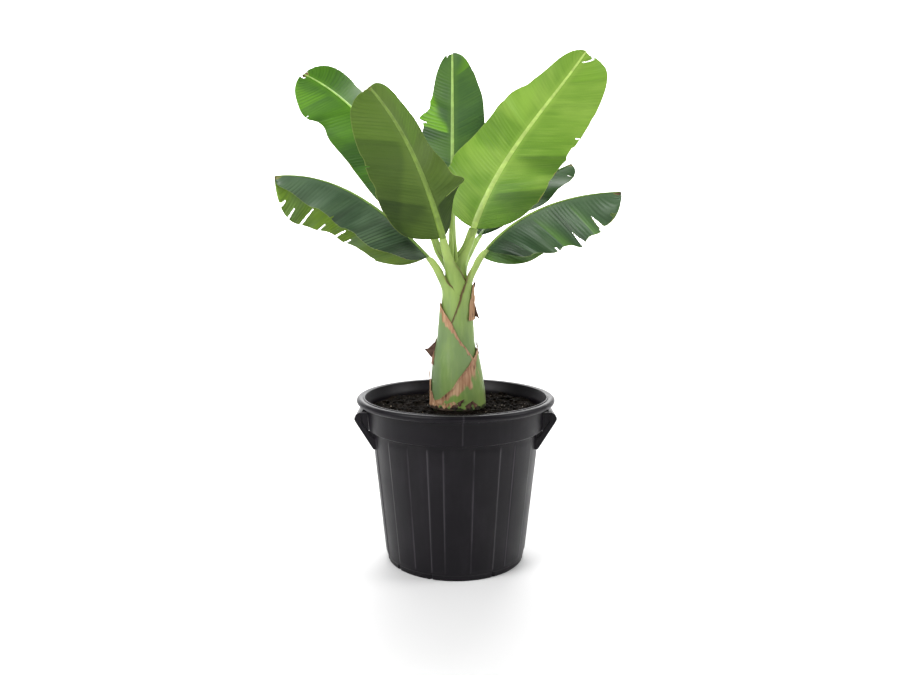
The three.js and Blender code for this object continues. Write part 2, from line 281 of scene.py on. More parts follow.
def pot_surface():
    """Radius is the outline's, plus a step on every other stave between the staves' foot and top,
    less small notches round the foot, plus a fine upright line on the band and a slight wobble."""
    line = pot_outline()
    turn = np.linspace(0, 2 * np.pi, 510, endpoint=False)
    bearing = (np.degrees(turn) + 90 + 180) % 360 - 180
    bearing = np.where(bearing < FIRST_BEARING, bearing + 360, bearing)
    raised, highlight_lines = np.zeros_like(bearing), np.zeros_like(bearing)
    for k, edge in enumerate(POT_STAVES):
        raised += (1 if k % 2 == 0 else -1) * smooth(edge - 0.4, edge + 0.4, bearing)
        highlight_lines = np.maximum(highlight_lines, np.exp(-(((bearing - edge) / 0.42) ** 2)))
    r, z = line[:, :1], line[:, 1:]
    rows = np.arange(len(line))[:, None]
    outside = rows < np.argmax(line[:, 1])
    on_body = outside * smooth(STAVE_FOOT, STAVE_FOOT + 0.006, z)
    on_body = on_body * smooth(STAVE_TOP, STAVE_TOP - 0.008, z)
    notch = sum(np.exp(-((bearing - at) / 1.1) ** 4) for at in NOTCHES)
    seam = np.exp(-(((bearing - SEAM_BEARING) / 0.25) ** 2))
    change = STAVE_STEP * raised[None] * on_body
    change = change - 0.003 * notch[None] * outside * smooth(0.012, 0.009, z) * (r > 0.13)
    change = change + 0.0004 * seam[None] * outside * smooth(0.275, 0.277, z) * smooth(0.32, 0.318, z)
    wobble = 0.0005 * np.sin(3 * turn + 1)[None] * smooth(0.05, 0.3, z)
    radius = r + change + wobble * (r > 0.1)
    points = np.stack([radius * np.cos(turn), radius * np.sin(turn), z + 0 * radius], -1)
    far = np.cumsum(np.hypot(*np.diff(line, axis=0, prepend=line[:1]).T))
    flat = np.stack(np.broadcast_arrays(turn[None] / (2 * np.pi), (far / far[-1])[:, None]), -1)
    # Where the painted highlight lies: along each stave edge on the body, and on the seam across the band.
    edge_highlight = np.maximum(highlight_lines[None] * on_body, 0.7 * seam[None] * outside * smooth(0.275, 0.277, z))
    return points, flat, np.broadcast_to(edge_highlight, radius.shape)


points, flat, edge_highlight = pot_surface()
build("pot_body", points, tube_faces(*points.shape[:2]), pot_look, ["pot"], flat,
      dict(edge_highlight=edge_highlight))

# The two handles: a grip bar held off the pot's side between two ribbed gussets, moulded in the
# same black plastic. The frame's own solids have the right shape and take the pot's finish.
for side in ("handle_left", "handle_right"):
    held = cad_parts[side]
    held.data.materials.clear()
    held.data.materials.append(pot_look)

# The soil: dark moist compost, filled to about 25 mm below the rim and mounded at the stem, with
# crumbs, bits of bark and pale grit scattered over it.
SOIL_LEVEL, SOIL_R = 0.3075, 0.1765
rng = np.random.default_rng(7)


def cloud(points, size, seed):
    """Smooth random heights from -1 to 1: values on a lattice of that size, eased between."""
    table = np.random.default_rng(seed).uniform(-1, 1, (32, 32, 32))
    scaled = np.asarray(points, float) / size
    low = np.floor(scaled).astype(int)
    part = scaled - low
    part = part * part * (3 - 2 * part)
    total = np.zeros(scaled.shape[:-1])
    for corner in np.ndindex(2, 2, 2):
        share = np.prod(np.where(np.array(corner), part, 1 - part), -1)
        total += share * table[tuple(((low + corner) % 32).reshape(-1, 3).T)].reshape(share.shape)
    return total


def soil_height(x, y):
    """The soil's level, a mound of 7 mm round the stem, crumbs 14, 6.5 and 2.2 mm across, and swells
    of 50 mm."""
    spot = np.stack([x, y, 0 * x], -1)
    away = np.hypot(x - 0.005, y)
    mound = 0.007 * np.exp(-((away / 0.085) ** 2))
    crumbs = 0.0038 * cloud(spot, 0.014, 1) + 0.0026 * cloud(spot, 0.0065, 2)
    fine, swell = 0.0012 * cloud(spot, 0.0022, 3), 0.002 * cloud(spot, 0.05, 4)
    return SOIL_LEVEL + mound + crumbs + fine + swell


def soil_colour(pen):
    """Near-black brown crumbs, lighter where they are dry."""
    place = place_of(pen)
    coarse, fine = pen.noise(place, 60.0, 6.0), pen.noise(place, 420.0, 3.0)
    tone = coarse.step(0.35, 0.72).mix((0.0025, 0.0019, 0.0014), (0.011, 0.0075, 0.005))
    return (fine.step(0.58, 0.74) * 0.6).mix(tone, (0.05, 0.034, 0.022))


def soil_rough(pen):
    """Nearly matt."""
    return 0.75 + pen.noise(place_of(pen), 200.0) * 0.25


def soil_bump(pen):
    """Grains finer than the crumbs."""
    return pen.noise(place_of(pen), 500.0, 5.0)


soil_look = finish_of("moist compost", soil_colour, soil_rough, soil_bump, 0.002, 0.8,
                      Specular_IOR_Level=0.06)
ring = SOIL_R * np.sqrt(np.linspace(0.0005, 1, 90))
turn = np.linspace(0, 2 * np.pi, 260, endpoint=False)
x, y = ring[:, None] * np.cos(turn), ring[:, None] * np.sin(turn)
top = np.stack([x, y, soil_height(x, y)], -1)
under = np.stack([top[-1, :, 0] * 0.985, top[-1, :, 1] * 0.985, 0 * top[-1, :, 2] + 0.28], -1)[None]
points = np.concatenate([top, under])
flat = np.stack([x, y], -1) / 0.38 + 0.5
flat = np.concatenate([flat, flat[-1:] * 0.998 + 0.001])
build("soil_top", points, tube_faces(*points.shape[:2]), soil_look, ["soil"], flat)


def lumps(places, sizes, seed, squash=0.7):
    """Rough pebbles: a cube's points pushed out to a ball, then each moved at random. Each pebble is
    turned round upright, widened one way and squashed."""
    spin = np.random.default_rng(seed)
    corner = np.array(list(np.ndindex(3, 3, 3))) - 1.0
    shell = np.abs(corner).max(1) > 0
    corner = corner[shell] / np.linalg.norm(corner[shell], axis=1, keepdims=True)
    number = {tuple(np.round(c, 3)): k for k, c in enumerate(corner)}
    square = []
    for axis in range(3):
        for sign in (-1, 1):
            for i, j in np.ndindex(2, 2):
                quad = []
                for a, b in ((0, 0), (1, 0), (1, 1), (0, 1)):
                    spot = np.zeros(3)
                    spot[axis], spot[(axis + 1) % 3], spot[(axis + 2) % 3] = sign, i + a - 1, j + b - 1
                    quad.append(number[tuple(np.round(spot / np.linalg.norm(spot), 3))])
                square.append(quad if sign > 0 else quad[::-1])
    count = len(places)
    body = corner[None] * spin.uniform(0.7, 1.25, (count, len(corner), 1)) * np.array([1, 1, squash])
    around = spin.uniform(0, 2 * np.pi, count)
    c, s = np.cos(around)[:, None], np.sin(around)[:, None]
    wide = spin.uniform(0.6, 1.4, (count, 1))
    x = body[..., 0] * c * wide - body[..., 1] * s
    y = body[..., 0] * s * wide + body[..., 1] * c
    body = np.stack([x, y, body[..., 2]], -1) * sizes[:, None, None] + places[:, None]
    faces = (np.array(square)[None] + len(corner) * np.arange(count)[:, None, None]).reshape(-1, 4)
    return body.reshape(-1, 3), faces


def scattered(count, inner=0.05, outer=0.172):
    """Places on the soil, evenly spread over its ring."""
    away = np.sqrt(rng.uniform(inner**2, outer**2, count))
    turn = rng.uniform(0, 2 * np.pi, count)
    x, y = away * np.cos(turn) + 0.003, away * np.sin(turn)
    return np.stack([x, y, soil_height(x, y)], -1)


CRUMBS, GRITS = 1300, 150
crumb_places = scattered(CRUMBS)
crumb_points, crumb_faces = lumps(crumb_places, 0.0013 + 0.0052 * rng.uniform(0, 1, CRUMBS) ** 2.5, 11)
build("soil_crumbs", crumb_points, [crumb_faces], soil_look, ["soil"])


def grit_colour(pen):
    """Bits from brown bark to pale grey-tan grit."""
    tone = pen.noise(place_of(pen), 90.0, 3.0)
    return tone.step(0.35, 0.65).mix((0.08, 0.055, 0.035), (0.34, 0.29, 0.22))


grit_look = finish_of("bark and grit", grit_colour, soil_rough, soil_bump, 0.001, 0.5)
grit_places = scattered(GRITS)
grit_points, grit_faces = lumps(grit_places, rng.uniform(0.0007, 0.0022, GRITS), 12, 0.5)
build("pale_grit", grit_points, [grit_faces], grit_look, ["soil"])

# The leaves' common build. Each grows as one long piece: a sheath that wraps the stem, a grooved
# stalk that leaves it, a midrib, and a blade of two halves pleated between side veins.

# start is where the stalk leaves the stem; heading (degrees round from +X) and rise (degrees above
# level) are given at the stalk's start, the blade's foot, its middle and its tip; roll turns the
# blade about its midrib. fold lifts a half from the midrib and curl bends it on towards its margin;
# a larger foot or tip makes that end blunter. spread changes the fold and bulge the width round one
# place, and lobe draws the foot back. stout is the stalk's radius at both ends, opens the heights
# between which it leaves the stem, wrap how far round each way its sheath reaches at some heights
# (degrees), and rim less than 1 broadens the dark line along its edges. start, stalk, length, stout,
# half and lobe are in millimetres.
LEAVES = {
    "front_left": dict(
        start=(-7, -14, 540), heading=(-117, -124, -131, -132), rise=(82, 64, 55, 34), stalk=118,
        length=325, roll=-26, stout=(15, 7.5), opens=(0.555, 0.63), rim=0.3,
        wrap=((0.5, 165), (0.55, 102), (0.573, 80), (0.6, 72), (0.64, 80)),
        left=dict(half=52, fold=(62, 77, 52), curl=10, foot=12, tip=3.2, spread=(0.31, 0.12, -60),
                  bulge=((0.27, 0.045, 0.36), (0.14, 0.08, 0.2))),
        right=dict(half=96, fold=(-8, 3, 8), curl=20, foot=14, tip=4.2),
    ),
    "high_right": dict(
        start=(-4, 5, 560), heading=(21, 27, 31, 34), rise=(68, 69, 49.5, 50), stalk=120,
        length=474, roll=-43, stout=(14, 9), opens=(0.57, 0.64),
        wrap=((0.53, 165), (0.58, 140), (0.615, 160)),
        left=dict(half=96, fold=(6, 2, -2), curl=10, foot=14, tip=1.9,
                  bulge=((0.57, 0.07, 0.07), (0.22, 0.1, 0.08))),
        right=dict(half=108, fold=(1, 9, 4), curl=10, foot=12, tip=5.2),
    ),
    "top": dict(
        start=(-6, 15, 560), heading=(90, 90, 90, 90), rise=(80, 70, 68, 69), stalk=156,
        length=360, roll=2, stout=(11, 6), opens=(0.57, 0.64),
        wrap=((0.56, 165), (0.61, 100)),
        left=dict(half=52, fold=(10, -8, 4), curl=10, foot=9, tip=3.5,
                  bulge=((0.58, 0.04, 0.3), (0.44, 0.14, 0.3))),
        right=dict(half=72, fold=(10, 5, 2), curl=10, foot=9, tip=3.6),
    ),
    "back_left": dict(
        start=(-12, 10, 550), heading=(145, 145, 148, 144), rise=(74, 61, 45, 23), stalk=159,
        length=460, roll=17, stout=(12, 6.5), opens=(0.56, 0.63),
        wrap=((0.55, 165), (0.6, 125)),
        left=dict(half=84, fold=(-40, -40, -38), curl=10, foot=9, tip=7,
                  bulge=((0.66, 0.05, -0.1), (0.82, 0.07, 0.08))),
        right=dict(half=82, fold=(2, -10, 32), curl=10, foot=9, tip=8),
    ),
    "low_left": dict(
        start=(-14, -9, 535), heading=(-166, -168, -171, -171), rise=(80, 47, 31, -8), stalk=92,
        length=343, roll=-6, stout=(15, 7.5), opens=(0.524, 0.582), rim=0.4,
        wrap=((0.51, 165), (0.525, 116), (0.545, 96), (0.565, 90), (0.585, 125)),
        left=dict(half=76, fold=(-40, -65, -46), curl=20, foot=7, tip=2.4),
        right=dict(half=100, fold=(-55, -48, -76), curl=20, foot=8, tip=9),
    ),
    "low_right": dict(
        start=(20, -6, 535), heading=(-12, -13, -15, -8), rise=(83, 50, 21, 1), stalk=107,
        length=286, roll=5, stout=(12.5, 7), opens=(0.53, 0.6), rim=0.3,
        wrap=((0.44, 165), (0.487, 95), (0.51, 82), (0.532, 70), (0.568, 66), (0.585, 100), (0.605, 132)),
        left=dict(half=82, fold=(-72, -66, -66), curl=20, foot=16, tip=6, lobe=20),
        right=dict(half=100, fold=(-42, -60, -40), curl=20, foot=6, tip=4,
                   bulge=((0.62, 0.05, 0.1), (0.78, 0.05, 0.1))),
    ),
    "back_right": dict(
        start=(8, 18, 550), heading=(49, 45, 45, 44), rise=(77, 43, 27, 17), stalk=127,
        length=350, roll=3, stout=(11, 5.5), opens=(0.56, 0.63),
        wrap=((0.55, 165), (0.6, 125)),
        left=dict(half=70, fold=(10, 0, -10), curl=10, foot=7, tip=4),
        right=dict(half=66, fold=(5, -19, -27), curl=10, foot=7, tip=2.5),
    ),
}
# From the outermost sheath inwards.
LAYERS = ("low_right", "low_left", "front_left", "high_right", "back_right", "back_left", "top")


def bend(values, t):
    """The curve through three values at 0, a half and 1."""
    a, b, c = values
    return a * (1 - t) * (1 - 2 * t) + 4 * b * t * (1 - t) + c * t * (2 * t - 1)


def axes(heading, rise):
    """Unit vectors ahead, to the right (level) and up for headings and rises in degrees."""
    a, e = np.radians(heading), np.radians(rise)
    ahead = np.stack([np.cos(e) * np.cos(a), np.cos(e) * np.sin(a), np.sin(e)], -1)
    right = np.stack([np.sin(a), -np.cos(a), 0 * a], -1)
    return ahead, right, np.cross(right, ahead)


def follow(start, length, heading, rise):
    """Points of a curve from start whose steps follow the headings and rises, by adding them up."""
    ahead = axes(heading, rise)[0]
    steps = (ahead[1:] + ahead[:-1]) / 2 * length / (len(ahead) - 1)
    return np.asarray(start, float) + np.concatenate([np.zeros((1, 3)), np.cumsum(steps, 0)])


def with_axes(line, heading, rise, turn):
    """A line with its unit vectors ahead, right and up, turned about it by some degrees."""
    ahead, right, up = axes(heading, rise)
    c, s = np.cos(np.radians(turn))[:, None], np.sin(np.radians(turn))[:, None]
    return line, ahead, right * c + up * s, up * c - right * s


def leaf_course(leaf, count=121):
    """The stalk's and the blade's centre lines with their axes: two tuples of places, ahead, right
    and up. The stalk turns through the blade's roll on its way, and the blade keeps it."""
    t = np.linspace(0, 1, count)
    h, r, roll = leaf["heading"], leaf["rise"], leaf["roll"]
    heading, rise = h[0] + (h[1] - h[0]) * t, r[0] + (r[1] - r[0]) * t
    stalk = follow(np.array(leaf["start"]) / 1000, leaf["stalk"] / 1000, heading, rise)
    blade_heading, blade_rise = bend(h[1:], t), bend(r[1:], t)
    blade = follow(stalk[-1], leaf["length"] / 1000, blade_heading, blade_rise)
    return (with_axes(stalk, heading, rise, roll * smooth(0.1, 1, t)),
            with_axes(blade, blade_heading, blade_rise, roll + 0 * t))


def stem_size(z):
    """The stem's radius and the place of its middle along X at each height: stout at the soil,
    narrowing over the first 140 mm, then slowly to the place where the stalks part."""
    heights = (0.31, 0.345, 0.38, 0.41, 0.43, 0.45, 0.495, 0.535, 0.60, 0.65)
    radii = (0.055, 0.053, 0.05, 0.0455, 0.041, 0.0375, 0.0345, 0.0325, 0.025, 0.018)
    middles = (0.005, 0.0045, 0.0025, 0.001, 0.001, 0.0015, 0.002, 0.003, 0.003, 0.002)
    return np.interp(z, heights, radii), np.interp(z, heights, middles)


def there_and_back(value):
    """Rows of values for a skin's outside, then the same for its inside, which runs back."""
    return np.concatenate([value, value[:, ::-1]], 1)


def crescent(places, out, side, radius, half_angle, thick, hollow, count=33, sink=0.3):
    """A closed skin of crescent section along a line. Outside: radius times the cosine and sine of
    an angle that runs over the half angles. Inside: the same, drawn in by the thickness, which thins
    to both edges. hollow, 0 to 1, fills the crescent as it nears 0, up to a top that sinks or, for
    a sink below 0, rises in the middle by that share of the radius. It comes with each point's
    distance from the nearer edge."""
    q = np.linspace(-1, 1, count)
    angle = q * half_angle[:, None]
    outer_out = radius[:, None] * np.cos(angle)
    outer_side = radius[:, None] * np.sin(angle)
    depth = thick[:, None] * (1 - 0.85 * np.abs(q) ** 3)
    inner = np.maximum(radius[:, None] - depth, 0)
    hug_out, hug_side = inner * np.cos(angle), inner * np.sin(angle)
    edge_out = radius * np.cos(half_angle)
    edge_side = radius * np.sin(half_angle)
    chord_out = edge_out[:, None] + radius[:, None] * sink * (1 - q**2)
    chord_side = (edge_side[:, None] - 0.0005) * q
    h = hollow[:, None]
    inner_out = hug_out * h + chord_out * (1 - h)
    inner_side = hug_side * h + chord_side * (1 - h)
    ring_out = np.hstack([outer_out, inner_out[:, ::-1]])
    ring_side = np.hstack([outer_side, inner_side[:, ::-1]])
    points = places[:, None] + ring_out[..., None] * out[:, None] + ring_side[..., None] * side[:, None]
    near = np.minimum(1 - np.abs(q), 0.999) * half_angle[:, None] * radius[:, None]
    return points, skin_faces(len(places), count), there_and_back(near)


def sheath_colour(pen):
    """Pale green, finely streaked along its length, with a grey bloom low down, and deeper and darker
    on its left low down with painted shade; a thin red-brown line at its free edges, tan, pink and
    brown paper where a sheath has dried, and soil clinging raggedly to its foot."""
    place = place_of(pen)
    edge, dry, up, bloom = pen.own("edge"), pen.own("dry"), pen.own("along"), pen.own("bloom")
    streak = pen.noise(place, 210.0, 3.0, (1, 1, 0.05))
    cloudy = pen.noise(place, 26.0, 5.0, (1, 1, 0.3))
    green = up.step(0.1, 0.95).mix((0.17, 0.3, 0.05), (0.41, 0.57, 0.135))
    bright = pen.noise(place, 17.0, 3.0, (1, 1, 0.45)).step(0.5, 0.68) * up.step(0.7, 0.3)
    green = (bright * 0.6).mix(green, (0.34, 0.44, 0.12))
    green = (streak.step(0.4, 0.7) * 0.35).mix(green, (0.34, 0.46, 0.13))
    green = (cloudy.step(0.43, 0.64) * (0.85 - up * 0.6)).mix(green, (0.085, 0.19, 0.02))
    green = (bloom * cloudy.step(0.3, 0.6) * 0.6).mix(green, (0.28, 0.36, 0.2))
    # Painted shade: the stem's left side is darker low down.
    shaded = place.parts(0).step(0.005, -0.045) * up.step(0.62, 0.2)
    green = (shaded * 0.6).mix(green, (0.1, 0.175, 0.07))
    scar = pen.noise(place, 90.0, 4.0, (1, 1, 0.25)).step(0.7, 0.76) * up.step(0.6, 0.2)
    green = (scar * 0.7).mix(green, (0.1, 0.06, 0.03))
    ragged = pen.noise(place, 130.0, 5.0, (1, 1, 0.4))
    line = (edge + ragged * 0.0022).step(0.003, 0.0016)
    green = (line * up.step(0.86, 0.64) * 0.9).mix(green, (0.1, 0.035, 0.016))
    tan = streak.step(0.3, 0.75).mix((0.36, 0.18, 0.085), (0.68, 0.44, 0.26))
    tan = (cloudy.step(0.45, 0.7) * 0.55).mix(tan, (0.34, 0.15, 0.1))
    tan = (ragged.step(0.6, 0.75) * 0.8).mix(tan, (0.09, 0.04, 0.025))
    tan = (dry.step(1.05, 1.6)).mix(tan, (0.075, 0.035, 0.026))
    tone = (dry + (ragged - 0.5) * 0.5).step(0.3, 0.6).mix(green, tan)
    soiled = (place.parts(2) - ragged * 0.02).step(0.3115, 0.308)
    return (soiled * 0.9).mix(tone, (0.008, 0.005, 0.003))


def sheath_rough(pen):
    """Satin where it is green, matt where it is dry."""
    return 0.4 + pen.own("dry").step(0.2, 0.7) * 0.35 + pen.noise(place_of(pen), 40.0) * 0.12


def sheath_height(pen):
    """Fine threads along its length, over soft dents."""
    place = place_of(pen)
    return pen.noise(place, 260.0, 3.0, (1, 1, 0.04)) + pen.noise(place, 30.0, 3.0, (1, 1, 0.3)) * 2.0


sheath_look = finish_of("leaf sheath", sheath_colour, sheath_rough, sheath_height, 0.001, 0.4)


def joined(parts):
    """Several grids of points, their faces and their fields, as one."""
    points, faces, fields, first = [], [], {}, 0
    for grid, groups, values in parts:
        points.append(grid.reshape(-1, 3))
        faces += [group + first for group in groups]
        for key, value in values.items():
            fields.setdefault(key, []).append(np.broadcast_to(value, grid.shape[:-1]).reshape(-1))
        first += len(points[-1])
    return np.concatenate(points), faces, {k: np.concatenate(v) for k, v in fields.items()}


# The stem's foot, in the soil's mound, and how much slimmer each sheath is than the one round it.
FOOT_Z = 0.3146
SHEATH_STEP = 0.0016


def shoot(leaf, layer):
    """A leaf's sheath and stalk in one run: from the soil to its start it follows the stem, then its
    own line. Between the heights in opens its middle and its radius go over from the stem's to the
    stalk's. The leaf's wrap gives how far round its sheath reaches."""
    (line, ahead, right, up), _ = leaf_course(leaf)
    low = np.linspace(FOOT_Z, line[0, 2], 75)[:-1, None]
    tail = line[0] + ahead[0] * (low - line[0, 2]) / ahead[0, 2]
    course = np.concatenate([tail, line])
    z = course[:, 2]
    s = np.concatenate([0 * low[:, 0], np.linspace(0, 1, len(line))])
    stem_radius, middle = stem_size(z)
    leave = smooth(*leaf["opens"], z)[:, None]
    places = course * leave + np.stack([middle, 0 * z, z], -1) * (1 - leave)
    wide, slim = leaf["stout"]
    stalk_radius = (wide + (slim - wide) * s**0.75) / 1000
    radius = (stem_radius - SHEATH_STEP * layer) * (1 - leave[:, 0]) + stalk_radius * leave[:, 0]
    half = np.interp(z, *zip(*leaf["wrap"])) - 8 * s
    half = np.radians(np.minimum(half, 165 - 70 * smooth(0.75, 1, s)))
    out = np.concatenate([0 * tail - up[0], -up])
    side = np.concatenate([0 * tail + right[0], right])
    thick = 0.0042 + 0.0015 * s
    points, _, near = crescent(places, out, side, radius, half, thick, 1 - smooth(0, 0.4, s))
    along = (0.5 * smooth(0.31, 0.56, z) + 0.5 * s)[:, None] + 0 * near
    bloom = 0.5 * smooth(0.6, 0.5, z)[:, None] + 0 * along
    return points, z, dict(edge=near * leaf.get("rim", 1), dry=0 * along, along=along, bloom=bloom)


def cut_rows(points, fields, keep):
    """The rows of a shoot that are kept, as a closed skin of their own."""
    faces = skin_faces(len(points[keep]), points.shape[1] // 2)
    return points[keep], faces, {key: value[keep] for key, value in fields.items()}


# The stem: not wood, but the sheaths of all the leaves rolled round each other, the oldest outside.
# Two of them have lost their stalks and end in slanting papery edges, and dead scraps cling to it.

# Where each shoot goes over from the stem's piece to its stalk's, and a distance from a free edge
# that is too long for the dark line along it.
PART_Z = 0.532
NO_EDGE = 0.02
stem_parts, stalk_parts = [], {}
for layer, name in enumerate(LAYERS):
    points, z, fields = shoot(LEAVES[name], layer)
    below = np.count_nonzero(z < PART_Z)
    stem_parts.append(cut_rows(points, fields, slice(0, below + 1)))
    stalk_parts[name] = cut_rows(points, fields, slice(below, None))


def round_stem(middle, radius, angle, z, thick):
    """A thin shell round the stem: points at that radius, then the same drawn in by its thickness."""
    outer = np.stack([middle + radius * np.cos(angle), radius * np.sin(angle), z], -1)
    inner = outer - thick * np.stack([np.cos(angle), np.sin(angle), 0 * angle], -1)
    return np.concatenate([outer, inner[:, ::-1]], 1)


def clasp(heading, heights, halves, lift, band, pale, seed, rows=110, count=71):
    """An old sheath that has lost its stalk: a shell round the stem whose half width at each height
    is given, so that its edges slant and meet in a point. It stands off the stem by lift, more near
    its wrinkled edge, and is dry near that edge, raggedly: band is how far, and how much farther
    round a height."""
    s, q = np.meshgrid(np.linspace(0, 1, rows), np.linspace(-1, 1, count), indexing="ij")
    z = FOOT_Z + s * (heights[-1] - FOOT_Z)
    radius, middle = stem_size(z)
    half = np.radians(np.interp(z, heights, halves))
    wave = cloud(np.stack([z * 0.4, 0 * z, 0 * z + seed], -1), 0.006, seed) * 0.03
    half = np.maximum(half + wave * np.sign(half), 0.02)
    a = np.radians(heading) + q * half
    near = (1 - np.abs(q)) * half * radius
    ridge = cloud(np.stack([a * 0.05, 0 * a, z * 0.1], -1), 0.0035, seed + 2)
    slim, more, place, wide = band
    broad = slim + more * np.exp(-(((z - place) / wide) ** 2))
    uneven = cloud(np.stack([a * 0.05, 0 * a, z * 0.4], -1), 0.006, seed + 3)
    papery = smooth(1.7, 0, near / broad + 0.45 * uneven)
    stand = lift + 0.0009 * ridge * papery + 0.0016 * smooth(0.006, 0, near)
    points = round_stem(middle, radius + stand, a, z, 0.0009)
    fields = dict(edge=there_and_back(near), dry=there_and_back(papery), along=0.3, bloom=pale)
    return points, skin_faces(rows, count), fields


stem_parts.append(clasp(180, (0.315, 0.36, 0.42, 0.455, 0.487, 0.534), (168, 160, 134, 98, 75, 6),
                        0.0012, (0.005, 0.014, 0.495, 0.025), 0.7, 41))
stem_parts.append(clasp(0, (0.315, 0.321, 0.338, 0.358, 0.38, 0.413, 0.44), (152, 147, 126, 102, 85, 49, 3),
                        0.0026, (0.009, 0.026, 0.375, 0.04), 0.35, 42))


def scrap(bearing, wide, low, high, lean, stand, seed, dry, rows=26, count=15):
    """A dead scrap on the stem: a strip from low to high round a bearing, which tapers to a point
    that leans sideways and stands off the stem by growing amounts, wrinkled and thin."""
    s, q = np.meshgrid(np.linspace(0, 1, rows), np.linspace(-1, 1, count), indexing="ij")
    z = low + s * (high - low)
    radius, middle = stem_size(z)
    torn = 1 + 0.35 * cloud(np.stack([s, np.sign(q), 0 * s + seed], -1), 0.11, seed)
    half = wide * (1 - s**1.8) * torn + 0.6
    a = np.radians(bearing + lean * s**1.5 + q * half)
    out = 0.0028 + stand * s**2 + 0.0014 * cloud(np.stack([a * 0.05, s * 0.01, 0 * s], -1), 0.003, seed + 1)
    points = round_stem(middle, radius + out, a, z, 0.0008)
    return points, skin_faces(rows, count), dict(edge=NO_EDGE, dry=dry, along=0.2, bloom=0.0)


def flag(bearing, low, high, reach, tip, lean, seed, rows=20, count=13):
    """A dead scale that sticks out from the stem: rooted upright between two heights, it runs out by
    its reach to a point at the height of its tip, crumpled and thin."""
    s, q = np.meshgrid(np.linspace(0, 1, rows), np.linspace(-1, 1, count), indexing="ij")
    radius, middle = stem_size(low + (high - low) * (q + 1) / 2)
    root = (high + low) / 2 + q * (high - low) / 2
    z = root * (1 - s) + tip * s + 0.0015 * cloud(np.stack([s, q, 0 * s + seed], -1), 0.3, seed)
    a = np.radians(bearing + lean * s**1.5 + 5 * cloud(np.stack([s, q, 0 * s + seed], -1), 0.4, seed + 1))
    out = radius - 0.002 + reach * s**0.9
    front = np.stack([middle + out * np.cos(a), out * np.sin(a) - 0.0005, z], -1)
    points = np.concatenate([front, front[:, ::-1] + [0, 0.001, 0]], 1)
    return points, skin_faces(rows, count), dict(edge=NO_EDGE, dry=1.5, along=0.2, bloom=0.0)


# Dead scales: bearing, the two heights of the root, reach, the tip's height, lean and seed.
SCALES = (
    (184, 0.408, 0.451, 0.021, 0.431, -6, 71), (-6, 0.5, 0.545, 0.016, 0.489, -8, 72),
    (-4, 0.535, 0.556, 0.008, 0.566, -6, 73), (4, 0.42, 0.452, 0.004, 0.428, 4, 74),
    (120, 0.37, 0.4, 0.018, 0.41, 8, 75), (60, 0.45, 0.475, 0.014, 0.455, -8, 76),
)
# Dead scraps: bearing, half width (degrees), foot, top, lean, how far off the stem, seed, dryness.
SCRAPS = (
    (-27, 26, 0.49, 0.562, 14, 0.001, 51, 1.0), (170, 30, 0.40, 0.452, -8, 0.002, 54, 1.3),
    (-168, 16, FOOT_Z, 0.392, -10, 0.003, 56, 0.9), (-150, 12, FOOT_Z, 0.352, -16, 0.002, 57, 1.2),
    (-140, 26, FOOT_Z, 0.336, 12, 0.002, 58, 0.9), (-112, 20, FOOT_Z, 0.333, 14, 0.001, 59, 0.95),
    (-98, 9, FOOT_Z, 0.338, 20, 0.002, 60, 1.5), (-74, 8, FOOT_Z, 0.334, 16, 0.002, 61, 1.5),
    (-46, 7, FOOT_Z, 0.333, -16, 0.002, 62, 1.4), (8, 8, 0.42, 0.452, -12, 0.001, 63, 1.5),
    (60, 24, FOOT_Z, 0.39, 12, 0.004, 64, 1.0), (110, 20, 0.34, 0.44, -12, 0.003, 65, 1.1),
    (130, 16, FOOT_Z, 0.36, 10, 0.004, 66, 1.3),
)
for bits in SCALES:
    stem_parts.append(flag(*bits))
for bits in SCRAPS:
    stem_parts.append(scrap(*bits))
points, faces, fields = joined(stem_parts)
build("stem_of_sheaths", points, faces, sheath_look, ["pseudostem"], fields=fields)

# The stalks: each a stiff green gutter, round below and grooved above, from the stem to its blade.
for name, (points, faces, fields) in stalk_parts.items():
    build("grooved_stalk_" + name, points, faces, sheath_look, ["stalk_" + name],
          fields=fields)

# The rolled young leaves: two slender green spears, each blade still wound round itself.
spears = []
for across, reach, stout in ((-0.0035, 0.124, 0.0052), (0.0045, 0.108, 0.0042)):
    t = np.linspace(0, 1, 70)[:, None]
    a = np.linspace(0, 2 * np.pi, 48, endpoint=False)[None]
    wound = 1 - 0.2 * ((a / (2 * np.pi) + 0.6 * t) % 1)
    radius = (stout * np.sqrt(1 - t**2.2) + 0.0005) * wound
    points = np.stack([across - 0.005 * t + radius * np.cos(a), -0.008 + radius * np.sin(a),
                       0.5453 + reach * t + 0 * a], -1)
    fields = dict(edge=NO_EDGE, dry=0.0, along=1.0, bloom=0.0)
    spears.append((points, tube_faces(*points.shape[:2]), fields))
points, faces, fields = joined(spears)
build("young_rolled_leaves", points, faces, sheath_look, ["spear_leaf"], fields=fields)


# The blades: thin, satin above and paler below, ribbed by side veins that run out from a light
# midrib and lean to the tip. Wind has split them along the veins, and old tips are brown and torn.

# Places run from 0 at a blade's foot to 1 at its tip, and a side is -1 (left) or 1 (right).
# Shares of a half's width by which its margin and its side veins lean ahead:
MARGIN_LEAN, VEIN_LEAN = 0.15, 0.36
PLEAT_PITCH, PLEAT_HEIGHT, OLD_PLEAT_HEIGHT = 0.0078, 0.0005, 0.0008
BLADE_THICK = 0.00045
# How far along the blade a tear pushes its sides apart, how much it lifts them, and its brown edge:
TEAR_REACH, TEAR_LIFT, TEAR_BROWN = 0.035, 0.0022, 0.0016
